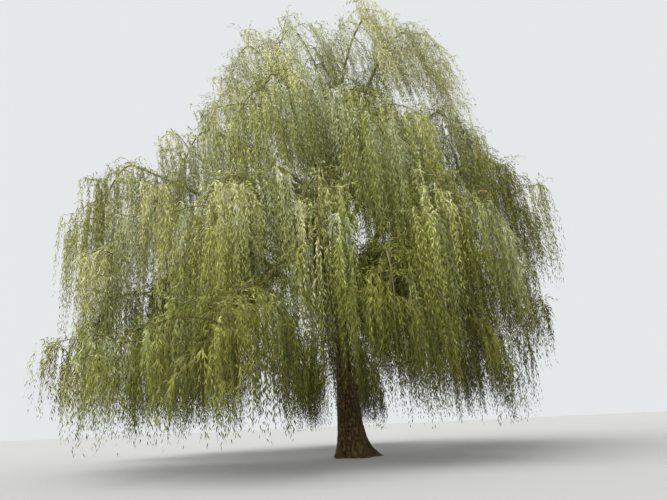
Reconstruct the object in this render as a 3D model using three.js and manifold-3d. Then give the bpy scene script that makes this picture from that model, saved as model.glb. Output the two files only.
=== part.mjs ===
// A mature weeping willow: the trunk from the ground to its fork, the boughs that arch out of it,
// and the hanging mass of foliage that each bough carries, round the open space under the crown.
// Millimetres, +Z up. The origin is the middle of the flat cut under the trunk, at ground level.
// Azimuths are in degrees round the trunk: 0 is the right side (+X), 90 the back, 270 the front.

import * as THREE from "three";
import { mergeVertices } from "three/addons/utils/BufferGeometryUtils.js";
import Module from "manifold-3d";

const wasm = await Module();
wasm.setup();

// Driving dimensions of the trunk
const TRUNK = {
  height: 6800, // to the fork
  radius: 490, // at chest height
  topRadius: 335,
  flare: 360, // how far the root flare stands out at the ground
  flareHeight: 480, // height over which the flare dies away
  flareSkew: 0.55, // how much wider the flare is on the right, and narrower on the left
  lobes: 5, // buttresses of the root flare
  lobeDepth: 0.17, // of the radius, at the ground
  lobeHeight: 900, // height over which the buttresses die away
  lobeTurn: 0.7, // radians
  sway: 70, // sideways bend of the stem
  lean: 150, // of the top, to the right
  sides: 16,
  rings: 11,
  ringCrowding: 1.7, // above 1, the rings crowd towards the foot
};

// The crown: one row for each bough and the mass that it carries.
// from and at: the limb it grows from, and how far along that limb.
// azimuth, reach and height: the crest where the bough arches over. drop: how far the foliage
// hangs below the crest. spread: half the width of the mass. base: radius of the bough's foot.
// A mass's first word says its tier: crest, upper, shoulder or skirt, from the top down.
const CROWN = {
  crest_1: {
    from: "trunk", at: 0.92, azimuth: 220, reach: 2100, height: 19000,
    drop: 6400, spread: 2400, base: 205,
  },
  crest_2: {
    from: "trunk", at: 1.0, azimuth: 318, reach: 2000, height: 19400,
    drop: 6600, spread: 2400, base: 250,
  },
  crest_3: {
    from: "trunk", at: 0.96, azimuth: 90, reach: 2200, height: 18300,
    drop: 8000, spread: 3300, base: 205,
  },
  crest_4: {
    from: "crest_1", at: 0.46, azimuth: 192, reach: 3900, height: 18700,
    drop: 6200, spread: 2100, base: 105,
  },
  crest_5: {
    from: "crest_2", at: 0.44, azimuth: 345, reach: 3400, height: 18900,
    drop: 6200, spread: 2200, base: 105,
  },
  upper_1: {
    from: "crest_1", at: 0.3, azimuth: 195, reach: 5600, height: 13700,
    drop: 6200, spread: 2500, base: 115,
  },
  upper_2: {
    from: "crest_1", at: 0.2, azimuth: 242, reach: 4600, height: 14300,
    drop: 6600, spread: 2500, base: 115,
  },
  upper_3: {
    from: "crest_2", at: 0.2, azimuth: 288, reach: 4500, height: 13200,
    drop: 7400, spread: 2500, base: 115,
  },
  upper_4: {
    from: "crest_2", at: 0.32, azimuth: 348, reach: 4500, height: 14300,
    drop: 6200, spread: 2400, base: 115,
  },
  upper_5: {
    from: "crest_3", at: 0.22, azimuth: 48, reach: 5000, height: 14600,
    drop: 6600, spread: 3300, base: 120,
  },
  upper_6: {
    from: "crest_3", at: 0.34, azimuth: 131, reach: 5500, height: 13700,
    drop: 6600, spread: 3800, base: 120,
  },
  shoulder_1: {
    from: "trunk", at: 0.82, azimuth: 187, reach: 9000, height: 12400,
    drop: 7400, spread: 2500, base: 185,
  },
  shoulder_2: {
    from: "trunk", at: 0.62, azimuth: 212, reach: 7600, height: 9200,
    drop: 6000, spread: 2600, base: 150,
  },
  shoulder_3: {
    from: "trunk", at: 0.72, azimuth: 240, reach: 6600, height: 9200,
    drop: 6000, spread: 2400, base: 165,
  },
  shoulder_4: {
    from: "shoulder_3", at: 0.4, azimuth: 264, reach: 5600, height: 9300,
    drop: 7600, spread: 1400, base: 95,
  },
  shoulder_5: {
    from: "trunk", at: 0.78, azimuth: 299, reach: 5800, height: 9500,
    drop: 6600, spread: 2400, base: 165,
  },
  shoulder_6: {
    from: "trunk", at: 0.7, azimuth: 355, reach: 6400, height: 12100,
    drop: 6600, spread: 2200, base: 175,
  },
  shoulder_7: {
    from: "trunk", at: 0.86, azimuth: 29, reach: 6200, height: 10900,
    drop: 6800, spread: 3200, base: 170,
  },
  shoulder_8: {
    from: "trunk", at: 0.68, azimuth: 87, reach: 7300, height: 9800,
    drop: 6400, spread: 3700, base: 175,
  },
  shoulder_9: {
    from: "trunk", at: 0.76, azimuth: 143, reach: 7600, height: 11200,
    drop: 6800, spread: 3800, base: 175,
  },
  skirt_1: {
    from: "shoulder_1", at: 0.5, azimuth: 200, reach: 8300, height: 6100,
    drop: 4600, spread: 2400, base: 85,
  },
  skirt_2: {
    from: "shoulder_2", at: 0.5, azimuth: 224, reach: 8000, height: 4400,
    drop: 3400, spread: 2400, base: 80,
  },
  skirt_3: {
    from: "shoulder_3", at: 0.55, azimuth: 249, reach: 7700, height: 4900,
    drop: 3900, spread: 2500, base: 80,
  },
  skirt_4: {
    from: "shoulder_5", at: 0.4, azimuth: 282, reach: 6200, height: 6300,
    drop: 4600, spread: 1500, base: 75,
  },
  skirt_5: {
    from: "shoulder_5", at: 0.6, azimuth: 300, reach: 5600, height: 6100,
    drop: 4800, spread: 2000, base: 80,
  },
  skirt_6: {
    from: "shoulder_6", at: 0.5, azimuth: 348, reach: 5800, height: 7300,
    drop: 4400, spread: 2000, base: 80,
  },
  skirt_7: {
    from: "shoulder_7", at: 0.5, azimuth: 35, reach: 5900, height: 6200,
    drop: 4900, spread: 3200, base: 85,
  },
  skirt_8: {
    from: "shoulder_8", at: 0.5, azimuth: 94, reach: 7300, height: 5600,
    drop: 4500, spread: 4600, base: 85,
  },
  skirt_9: {
    from: "shoulder_9", at: 0.5, azimuth: 150, reach: 7900, height: 6100,
    drop: 4900, spread: 4400, base: 85,
  },
};

// Driving dimensions of the boughs
const BOUGH = {
  sides: 6,
  ringSpacing: 1900, // along the bough
  leastSegments: 3,
  tipShare: 0.25, // radius at the tip, of the radius at the foot
  leastTip: 45, // radius
  taper: 0.9, // power of the taper, 1 for a straight cone
  collar: 0.3, // how much wider the foot is where it leaves its parent
  collarLength: 420,
  growth: 0.75, // how far a bough first follows its parent's direction
  footReach: 0.36, // length of the curve's first handle, of the straight line to the crest
  crestReach: 0.27, // length of its last handle
  crestSlope: 0.6, // its slope at the crest, of the straight line's
  slopes: [0.1, 1.5], // least and most slope of that line
};

// Driving dimensions of the foliage
const FOLIAGE = {
  twigs: 6, // side twigs of each stem
  stemSprays: 6,
  stemSprayPlaces: [0.3, 1], // along the stem
  spraysPerTwig: [0.4, 0.72, 1], // places along a side twig
  over: 0.5, // how far the stem arches beyond the crest, of the spread
  arch: 0.6, // how far the stem runs on in the bough's direction, of that
  stemFall: 0.46, // how far the stem comes down, of the drop
  hang: 0.55, // how much of that fall is straight down
  stemRings: [0.3, 0.55, 0.78, 1], // along the arch
  stemRoot: 0.86, // radius, of the bough's tip
  stemTip: 56, // radius
  twigRoot: 27, // radius
  twigTip: 22, // radius
  twigPlaces: [0.06, 0.96], // along the stem
  twigTurn: [118, 44], // degrees from the stem's heading, at the stem's root and at its end
  twigTurnSpread: 24,
  twigLength: [0.66, 1], // of the spread
  twigLift: [0.08, 0.24], // rise at half length, of the length
  twigSag: [0.06, 0.28], // fall at the end
  twigRun: 0.94, // level distance covered
  sprayLength: [0.44, 0.7], // of the drop
  sprayWidth: [560, 800],
  sprayThickness: 64,
  sprayPush: [250, 600], // how far a spray's tip stands out from below its root
  bellyPush: 0.4, // how much further out its belly stands, of that
  belly: 0.25, // where a spray is widest, from its root
  rootSink: 6, // how deep a spray's point goes past the middle of its twig
  lengths: [1, 0.72, 0.5], // a twig or spray that doesn't fit is tried shorter, then skipped
  apart: 380, // least distance between the lines of two sprays of a mass
  wind: [0.08, 0.4], // how steeply the lowest and highest sprays drift to the right
  windReach: 2600, // length over which a spray's drift dies away, as it hangs
  windFoot: 8500, // the lowest drift below this height
  windTop: 17000, // the highest drift above this height
};
const SEED = 4100;
const GAP = 0.3; // between solids that meet
const LEAST_EDGE = 0.05; // shorter edges that a join leaves are closed up
const SPACE_MARGIN = 12; // kept clear on each side of the face between two masses
const LIMB_MARGIN = 14; // kept clear between foliage and a limb that it doesn't grow from
const SPACE_STRETCH = 0.4; // weight of height against width in sharing out the crown: tall spaces
const SPACE_DEPTH = 0.3; // height of a space's middle below the crest, of the drop
const SPACE_REACH = 0.3; // distance of that middle beyond the crest, of the stem's own
const ENTRY_DEPTH = 160; // how far inside its mass's space a bough ends
const ENTRY_STEPS = 64;
const LEAST_BOUGH = 0.76; // of its course, where the space begins sooner

// Finishes
const BARK = { color: 0x4b3a22, roughness: 0.95 };
const LEAF_ROUGHNESS = 0.8;
const LEAVES = { crest: 0xa3a574, upper: 0x969a63, shoulder: 0x868c4f, skirt: 0x70773a };

const UP = new THREE.Vector3(0, 0, 1);
const RIGHT = new THREE.Vector3(1, 0, 0);

// Numbers from 0 to 1 that are the same in each run.
function seeded(seed) {
  let state = seed >>> 0;
  return () => {
    state = (state + 0x6d2b79f5) >>> 0;
    let mixed = Math.imul(state ^ (state >>> 15), state | 1);
    mixed ^= mixed + Math.imul(mixed ^ (mixed >>> 7), mixed | 61);
    return ((mixed ^ (mixed >>> 14)) >>> 0) / 4294967296;
  };
}

const mix = (range, share) => range[0] + (range[1] - range[0]) * share;

function outward(azimuth) {
  const angle = THREE.MathUtils.degToRad(azimuth);
  return new THREE.Vector3(Math.cos(angle), Math.sin(angle), 0);
}

// A point moved by any number of [direction, distance] pairs.
function moved(point, ...steps) {
  const result = point.clone();
  for (const [direction, distance] of steps) result.addScaledVector(direction, distance);
  return result;
}

// A three.js shape whose vertices are each sent to a new place, as a solid.
function solidOf(geometry, place) {
  geometry.deleteAttribute("normal");
  geometry.deleteAttribute("uv");
  const position = geometry.getAttribute("position");
  const vertex = new THREE.Vector3();
  for (let i = 0; i < position.count; i++) {
    const to = place(vertex.fromBufferAttribute(position, i));
    position.setXYZ(i, to.x, to.y, to.z);
  }
  const merged = mergeVertices(geometry, 0.001);
  return new wasm.Manifold(
    new wasm.Mesh({
      numProp: 3,
      vertProperties: merged.getAttribute("position").array,
      triVerts: new Uint32Array(merged.index.array),
    }),
  );
}

// A limb or twig: a cylinder bent along a path of { point, tangent }, with radiusAt(ring, angle).
function sweep(path, sides, radiusAt) {
  const frames = [];
  let normal = new THREE.Vector3(1, 0, 0);
  if (Math.abs(path[0].tangent.x) > 0.9) normal.set(0, 1, 0);
  for (const { tangent } of path) {
    normal = normal.clone().addScaledVector(tangent, -normal.dot(tangent)).normalize();
    frames.push([normal, normal.clone().cross(tangent)]);
  }
  const segments = path.length - 1;
  return solidOf(new THREE.CylinderGeometry(1, 1, 1, sides, segments), (vertex) => {
    const ring = Math.round((vertex.y + 0.5) * segments);
    const radius = radiusAt(ring, Math.atan2(vertex.z, vertex.x));
    const [side, across] = frames[ring];
    return moved(path[ring].point, [side, vertex.x * radius], [across, vertex.z * radius]);
  });
}

// The largest body of a solid: loose scraps and sealed hollows are left out.
function largestBody(solid) {
  return solid.decompose().reduce((a, b) => (b.volume() > a.volume() ? b : a));
}

// Trunk: its axis leans and sways a little, and its foot flares into buttresses.
const trunkRise = Array.from(
  { length: TRUNK.rings },
  (_, i) => (i / (TRUNK.rings - 1)) ** TRUNK.ringCrowding,
);

function trunkAxis(share) {
  const x = TRUNK.lean * share ** 2 - TRUNK.sway * Math.sin(Math.PI * share);
  const y = 0.5 * TRUNK.sway * Math.sin(2 * Math.PI * share);
  return new THREE.Vector3(x, y, TRUNK.height * share);
}

function trunkRadius(share, angle = 0) {
  const height = TRUNK.height * share;
  const dying = Math.exp(-height / TRUNK.flareHeight);
  const stem = THREE.MathUtils.lerp(TRUNK.radius, TRUNK.topRadius, share);
  const depth = TRUNK.lobeDepth * Math.exp(-height / TRUNK.lobeHeight);
  const lobes = 1 + depth * Math.cos(TRUNK.lobes * angle + TRUNK.lobeTurn);
  const flare = TRUNK.flare * (1 + TRUNK.flareSkew * Math.cos(angle));
  return (stem + flare * dying) * lobes;
}

function makeTrunk(inflate = 0) {
  const path = trunkRise.map((share) => ({ point: trunkAxis(share), tangent: UP }));
  return sweep(path, TRUNK.sides, (ring, angle) => trunkRadius(trunkRise[ring], angle) + inflate);
}

// Limbs: each bough's course runs from its parent to the crest of its mass.
const limbs = new Map();

function courseOf(row) {
  const parent = limbs.get(row.from);
  const foot = parent ? parent.course.getPoint(row.at * parent.end) : trunkAxis(row.at);
  const heading = outward(row.azimuth);
  const crest = moved(new THREE.Vector3(), [heading, row.reach], [UP, row.height]);
  const chord = crest.clone().sub(foot);
  const length = chord.length();
  const run = Math.hypot(chord.x, chord.y);
  const growth = parent ? parent.course.getTangent(row.at * parent.end) : UP;
  const leave = chord.clone().normalize().addScaledVector(growth, BOUGH.growth).normalize();
  const slope = BOUGH.crestSlope * THREE.MathUtils.clamp(chord.z / run, ...BOUGH.slopes);
  const arrive = heading.clone().addScaledVector(UP, slope).normalize();
  return {
    heading,
    arrive,
    course: new THREE.CubicBezierCurve3(
      foot,
      moved(foot, [leave, BOUGH.footReach * length]),
      moved(crest, [arrive, -BOUGH.crestReach * length]),
      crest,
    ),
  };
}

// The crown is shared out by planes half way between the middles of neighbouring masses.
const middles = Object.entries(CROWN).map(([name, row]) => ({
  name,
  point: moved(
    new THREE.Vector3(),
    [outward(row.azimuth), row.reach + SPACE_REACH * FOLIAGE.over * row.spread],
    [UP, row.height - SPACE_DEPTH * row.drop],
  ),
}));

function spaceOf(name) {
  const own = middles.find((middle) => middle.name === name).point;
  return middles
    .filter((middle) => middle.name !== name)
    .map(({ point }) => {
      const normal = point.clone().sub(own);
      normal.z *= SPACE_STRETCH ** 2;
      const between = own.clone().lerp(point, 0.5);
      return new THREE.Plane().setFromNormalAndCoplanarPoint(normal.normalize(), between);
    });
}

function isInside(space, point, margin) {
  return space.every((plane) => plane.distanceToPoint(point) < -margin);
}

for (const [name, row] of Object.entries(CROWN)) {
  const limb = courseOf(row);
  const space = spaceOf(name);
  let step = ENTRY_STEPS;
  while (step > 0 && isInside(space, limb.course.getPoint((step - 1) / ENTRY_STEPS), ENTRY_DEPTH)) step--;
  limbs.set(name, { ...limb, row, space, end: Math.max(LEAST_BOUGH, step / ENTRY_STEPS) });
}

function boughPath(limb) {
  const length = limb.course.getLength() * limb.end;
  const segments = Math.max(BOUGH.leastSegments, Math.round(length / BOUGH.ringSpacing));
  return Array.from({ length: segments + 1 }, (_, i) => {
    const t = (limb.end * i) / segments;
    return { point: limb.course.getPoint(t), tangent: limb.course.getTangent(t), share: i / segments };
  });
}

function tipRadius(row) {
  return Math.max(BOUGH.leastTip, BOUGH.tipShare * row.base);
}

function boughRadius(limb, share) {
  const tip = tipRadius(limb.row);
  const distance = share * limb.end * limb.course.getLength();
  const collar = 1 + BOUGH.collar * Math.exp(-distance / BOUGH.collarLength);
  return (tip + (limb.row.base - tip) * (1 - share) ** BOUGH.taper) * collar;
}

function makeBough(limb, inflate = 0) {
  const path = boughPath(limb);
  return sweep(path, BOUGH.sides, (ring) => boughRadius(limb, path[ring].share) + inflate);
}

// A limb as short straight stretches, each with its radius, which the foliage keeps clear of.
function stretchesOf(points, radiusOf) {
  return points.slice(1).map((point, i) => ({
    line: new THREE.Line3(points[i], point),
    radius: Math.max(radiusOf(i), radiusOf(i + 1)),
  }));
}

const stretches = stretchesOf(
  trunkRise.map(trunkAxis),
  (i) => trunkRadius(trunkRise[i]) * (1 + TRUNK.lobeDepth),
);
for (const limb of limbs.values()) {
  const path = boughPath(limb);
  const points = path.map((ring) => ring.point);
  stretches.push(...stretchesOf(points, (i) => boughRadius(limb, path[i].share)));
}

// The least distance between two straight stretches.
function distanceBetween(a, b) {
  const first = a.delta(new THREE.Vector3());
  const second = b.delta(new THREE.Vector3());
  const offset = a.start.clone().sub(b.start);
  const firstSquare = first.dot(first);
  const secondSquare = second.dot(second);
  const both = first.dot(second);
  const firstOffset = first.dot(offset);
  const secondOffset = second.dot(offset);
  const spread = firstSquare * secondSquare - both * both;
  const clamp = (share) => THREE.MathUtils.clamp(share, 0, 1);
  const start = spread > 0 ? clamp((both * secondOffset - secondSquare * firstOffset) / spread) : 0;
  const t = clamp((both * start + secondOffset) / secondSquare);
  const s = clamp((both * t - firstOffset) / firstSquare);
  return a.at(s, new THREE.Vector3()).distanceTo(b.at(t, new THREE.Vector3()));
}

// Whether the line through some points keeps off all of some stretches, each with its radius.
function isClear(points, others, margin) {
  return points.slice(1).every((point, i) => {
    const line = new THREE.Line3(points[i], point);
    return others.every((other) => distanceBetween(line, other.line) > other.radius + margin);
  });
}

// Foliage: a stem that arches over the crest and hangs, side twigs, and hanging sprays of leaves.
function stemPath(limb) {
  const { row, course, heading, arrive, end } = limb;
  const crest = course.getPoint(1);
  const over = FOLIAGE.over * row.spread;
  const fall = FOLIAGE.stemFall * row.drop;
  const foot = moved(crest, [heading, over], [UP, -fall]);
  const hang = new THREE.CubicBezierCurve3(
    crest,
    moved(crest, [arrive, FOLIAGE.arch * over]),
    moved(foot, [UP, FOLIAGE.hang * fall]),
    foot,
  );
  const entry = course.getTangent(end);
  const path = [{ point: moved(course.getPoint(end), [entry, GAP]), tangent: entry }];
  const ringOf = (curve) => (t) => ({ point: curve.getPoint(t), tangent: curve.getTangent(t) });
  path.push(...[(1 + end) / 2, 1].map(ringOf(course)), ...FOLIAGE.stemRings.map(ringOf(hang)));
  return path;
}

// The point at a share of the length of a path of rings.
function along(path, share) {
  const lengths = path.slice(1).map((ring, i) => ring.point.distanceTo(path[i].point));
  let left = share * lengths.reduce((sum, length) => sum + length, 0);
  let i = 0;
  while (i < lengths.length - 1 && left > lengths[i]) left -= lengths[i++];
  return path[i].point.clone().lerp(path[i + 1].point, Math.min(1, left / lengths[i]));
}

function twigPath(root, heading, length, lift, sag) {
  const curve = new THREE.QuadraticBezierCurve3(
    root,
    moved(root, [heading, 0.5 * length], [UP, lift * length]),
    moved(root, [heading, FOLIAGE.twigRun * length], [UP, -sag * length]),
  );
  return [0, 0.5, 1].map((t) => ({ point: curve.getPoint(t), tangent: curve.getTangent(t) }));
}

// A spray's points: it leaves its twig outwards, is widest at its belly, where it has a flat back
// and a ridge in front, and hangs to a point.
function sprayPoints(root, heading, spray) {
  const exposure = THREE.MathUtils.smoothstep(root.z, FOLIAGE.windFoot, FOLIAGE.windTop);
  const run = FOLIAGE.windReach * (1 - Math.exp(-spray.length / FOLIAGE.windReach));
  const drift = mix(FOLIAGE.wind, exposure) * run;
  const tip = moved(root, [heading, spray.push], [UP, -spray.length], [RIGHT, drift]);
  const belly = moved(root.clone().lerp(tip, FOLIAGE.belly), [heading, FOLIAGE.bellyPush * spray.push]);
  const start = moved(root, [belly.clone().sub(root).normalize(), -FOLIAGE.rootSink]);
  const side = outward(spray.turn);
  const face = side.clone().cross(tip.clone().sub(root).normalize()).normalize();
  return {
    start,
    tip,
    left: moved(belly, [side, -spray.width / 2]),
    right: moved(belly, [side, spray.width / 2]),
    ridge: moved(belly, [face, FOLIAGE.sprayThickness]),
    back: belly,
  };
}

function makeSpray(points) {
  return solidOf(new THREE.OctahedronGeometry(1), ({ x, y, z }) => {
    if (Math.abs(y) > 0.5) return y > 0 ? points.tip : points.start;
    if (Math.abs(x) > 0.5) return x > 0 ? points.right : points.left;
    return z > 0 ? points.ridge : points.back;
  });
}

// The first of the tried lengths that stays in the space and off the limbs, or nothing.
function firstThatFits(space, neighbours, build) {
  for (const share of FOLIAGE.lengths) {
    const made = build(share);
    const inside = made.reach.every((point) => isInside(space, point, SPACE_MARGIN));
    const offLimbs = inside && isClear(made.axis, stretches, made.thickness + LIMB_MARGIN);
    if (offLimbs && isClear(made.axis.slice(1), neighbours, 0)) return made;
  }
  return null;
}

function makeFoliage(limb, seed) {
  const { row, space, heading } = limb;
  const random = seeded(seed);
  const stem = stemPath(limb);
  const stemRoot = FOLIAGE.stemRoot * tipRadius(row);
  const parts = [
    sweep(stem, 3, (ring) => THREE.MathUtils.lerp(stemRoot, FOLIAGE.stemTip, ring / (stem.length - 1))),
  ];

  const neighbours = [];

  const addSpray = (root, away) => {
    const full = {
      length: row.drop * mix(FOLIAGE.sprayLength, random()),
      width: mix(FOLIAGE.sprayWidth, random()),
      turn: 180 * random(),
      push: mix(FOLIAGE.sprayPush, random()),
    };
    const fitted = firstThatFits(space, neighbours, (share) => {
      const points = sprayPoints(root, away, { ...full, length: full.length * share });
      const axis = [root, points.back, points.tip];
      return { points, reach: Object.values(points), axis, thickness: full.width / 2 };
    });
    if (!fitted) return;
    parts.push(makeSpray(fitted.points));
    neighbours.push({ line: new THREE.Line3(fitted.axis[1], fitted.points.tip), radius: FOLIAGE.apart });
  };

  for (let i = 0; i < FOLIAGE.stemSprays; i++) {
    addSpray(along(stem, mix(FOLIAGE.stemSprayPlaces, i / (FOLIAGE.stemSprays - 1))), heading);
  }
  for (let i = 0; i < FOLIAGE.twigs; i++) {
    const share = (i + 0.5) / FOLIAGE.twigs;
    const root = along(stem, mix(FOLIAGE.twigPlaces, share));
    const turn = mix(FOLIAGE.twigTurn, share) + FOLIAGE.twigTurnSpread * (random() - 0.5);
    const away = outward(row.azimuth + (i % 2 ? turn : -turn));
    const length = row.spread * mix(FOLIAGE.twigLength, random());
    const lift = mix(FOLIAGE.twigLift, random());
    const sag = mix(FOLIAGE.twigSag, random());
    const fitted = firstThatFits(space, neighbours, (size) => {
      const path = twigPath(root, away, length * size, lift, sag);
      const points = path.map((ring) => ring.point);
      return { path, reach: points, axis: points, thickness: FOLIAGE.twigRoot };
    });
    if (!fitted) continue;
    parts.push(sweep(fitted.path, 3, (ring) => mix([FOLIAGE.twigRoot, FOLIAGE.twigTip], ring / 2)));
    for (const place of FOLIAGE.spraysPerTwig) addSpray(along(fitted.path, place), away);
  }
  return largestBody(wasm.Manifold.union(parts).simplify(LEAST_EDGE));
}

// The tree
function meshOf(name, solid, finish) {
  const mesh = solid.getMesh();
  const geometry = new THREE.BufferGeometry();
  geometry.setAttribute("position", new THREE.BufferAttribute(mesh.vertProperties, 3));
  geometry.setIndex(new THREE.BufferAttribute(mesh.triVerts, 1));
  geometry.computeVertexNormals();
  const made = new THREE.Mesh(geometry, new THREE.MeshStandardMaterial({ ...finish, metalness: 0 }));
  made.name = name;
  return made;
}

const tree = new THREE.Group();
tree.add(meshOf("trunk", makeTrunk(), BARK));

// Each bough is cut clear of the trunk and of the boughs made before it.
const inflated = [makeTrunk(GAP)];
for (const [name, limb] of limbs) {
  let bough = makeBough(limb);
  for (const other of inflated) bough = bough.subtract(other);
  tree.add(meshOf(`bough_${name}`, largestBody(bough.simplify(LEAST_EDGE)), BARK));
  inflated.push(makeBough(limb, GAP));
}

[...limbs].forEach(([name, limb], index) => {
  const color = LEAVES[name.split("_")[0]];
  const finish = { color, roughness: LEAF_ROUGHNESS };
  tree.add(meshOf(`foliage_${name}`, makeFoliage(limb, SEED + index), finish));
});

export default tree;
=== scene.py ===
"""A mature weeping willow: bark, twigs and hanging leafy shoots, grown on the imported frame.

Metres, +Z up. The origin is the middle of the flat cut under the trunk, at ground level. Azimuths
are in degrees round the trunk: 0 is the right side (+X), 90 the back and 270 the front.
"""

import logging
import math
from collections.abc import Callable
from dataclasses import dataclass
from enum import Enum
from typing import Self

import bpy
import numpy as np
from mathutils import Matrix


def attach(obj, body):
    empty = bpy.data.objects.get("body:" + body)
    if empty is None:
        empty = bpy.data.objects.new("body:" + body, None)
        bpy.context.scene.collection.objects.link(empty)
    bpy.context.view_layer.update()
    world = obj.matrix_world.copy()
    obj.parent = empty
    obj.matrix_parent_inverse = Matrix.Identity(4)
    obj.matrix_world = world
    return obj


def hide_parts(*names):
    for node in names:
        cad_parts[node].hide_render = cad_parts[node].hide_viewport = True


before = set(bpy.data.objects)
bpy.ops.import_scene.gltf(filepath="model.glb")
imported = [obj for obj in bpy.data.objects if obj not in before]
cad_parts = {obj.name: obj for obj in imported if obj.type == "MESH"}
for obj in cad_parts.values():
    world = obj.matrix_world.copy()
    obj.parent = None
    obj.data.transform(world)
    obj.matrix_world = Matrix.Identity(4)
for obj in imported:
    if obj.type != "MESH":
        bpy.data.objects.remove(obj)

LOG = logging.getLogger("willow")
SEED = 4100
UP = np.array([0.0, 0.0, 1.0])
RIGHT = np.array([1.0, 0.0, 0.0])
BACK = np.array([0.0, 1.0, 0.0])
LEVEL = RIGHT + BACK  # takes the height out of a direction
ASIDE = RIGHT + 0.01 * UP  # no shoot runs along it
TINY = 1e-12
MOST_TRIANGLES = 195_000  # of a piece of leaves or twigs

Array = np.ndarray
Material = bpy.types.Material
Pair = tuple[float, float]
Triple = tuple[float, float, float]
Build = Callable[[float], Array]  # from a share of the full length to the handles of curves


# Arithmetic on arrays of points
def unit(vectors: Array) -> Array:
    """Scales vectors to a length of one.

    Args:
        vectors: directions, of shape (..., 3).

    Returns:
        The same directions, each one unit long.
    """
    return vectors / np.maximum(np.linalg.norm(vectors, axis=-1, keepdims=True), TINY)


def mix(pair: Pair, share: Array | float) -> Array | float:
    """Goes from the first of two numbers, at share 0, to the second, at share 1.

    Args:
        pair: the two numbers.
        share: how far along.

    Returns:
        The number at that share.
    """
    return pair[0] + (pair[1] - pair[0]) * share


def outward(azimuth: Array | float) -> Array:
    """Gives the level direction that points away from the trunk at an azimuth.

    Args:
        azimuth: degrees round the trunk, of any shape.

    Returns:
        Unit directions, of that shape and 3.
    """
    angle = np.radians(azimuth)
    return np.stack([np.cos(angle), np.sin(angle), np.zeros_like(angle)], axis=-1)


def smoothstep(value: Array, low: float, high: float) -> Array:
    """Rises smoothly from 0 at low to 1 at high, as 3 s squared less 2 s cubed.

    Args:
        value: the numbers.
        low: where it starts.
        high: where it ends.

    Returns:
        Numbers from 0 to 1.
    """
    share = np.clip((value - low) / (high - low), 0, 1)
    return share * share * (3 - 2 * share)


def bezier(handles: Array, t: Array | float) -> Array:
    """Gives points on Bezier curves by repeated mixing of neighbouring handles.

    Args:
        handles: of shape (..., handles, 3).
        t: places along the curves, of a shape that goes with the leading one of handles.

    Returns:
        Points, of the joint leading shape and 3.
    """
    points = handles
    share = np.asarray(t, float)[..., None, None]
    while points.shape[-2] > 1:
        points = points[..., :-1, :] * (1 - share) + points[..., 1:, :] * share
    return points[..., 0, :]


def bezier_tangent(handles: Array, t: Array | float) -> Array:
    """Gives unit directions along Bezier curves, from the differences of their handles.

    Args:
        handles: of shape (..., handles, 3).
        t: places along the curves.

    Returns:
        Unit directions, of the joint leading shape and 3.
    """
    return unit(bezier(np.diff(handles, axis=-2), t))


def cubic(handles: Array) -> Array:
    """Gives the same curves with one handle more.

    Args:
        handles: of curves with three handles, of shape (n, 3, 3).

    Returns:
        Handles of shape (n, 4, 3).
    """
    first, middle, last = handles[:, 0], handles[:, 1], handles[:, 2]
    return np.stack([first, (first + 2 * middle) / 3, (last + 2 * middle) / 3, last], axis=1)


def travelled(points: Array) -> Array:
    """Gives the distances along a line of points.

    Args:
        points: of shape (n, 3).

    Returns:
        Distances from the first point, of shape (n,).
    """
    steps = np.linalg.norm(np.diff(points, axis=0), axis=1)
    return np.concatenate([[0], np.cumsum(steps)])


def on_line(points: Array, wanted: Array, places: Array | None = None) -> Array:
    """Gives points on a line of points, straight between its neighbours.

    Args:
        points: of shape (n, 3).
        wanted: places along the line, of any shape.
        places: of the line's own points, or None where they lie evenly from 0 to 1.

    Returns:
        Points, of the shape of wanted and 3.
    """
    if places is None:
        places = np.linspace(0, 1, len(points))
    return np.stack([np.interp(wanted, places, points[:, i]) for i in range(3)], -1)


# The crown's rows, as in the part's source
class Tier(Enum):
    """The four tiers of the crown, from the top down."""

    CREST = "crest"
    UPPER = "upper"
    SHOULDER = "shoulder"
    SKIRT = "skirt"


@dataclass(frozen=True)
class Row:
    """A bough and the mass of foliage that it carries.

    Attributes:
        name: tier and number.
        source: the limb that it grows from.
        at: how far along that limb.
        azimuth: direction of the crest where the bough arches over, in degrees.
        reach: distance of the crest from the trunk's axis.
        height: height of the crest.
        drop: how far the foliage hangs below the crest.
        spread: half the width of the mass.
        base: radius of the bough's foot.
    """

    name: str
    source: str
    at: float
    azimuth: float
    reach: float
    height: float
    drop: float
    spread: float
    base: float

    @property
    def tier(self) -> Tier:
        """The tier of the crown that the row belongs to."""
        return Tier(self.name.split("_")[0])


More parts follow.
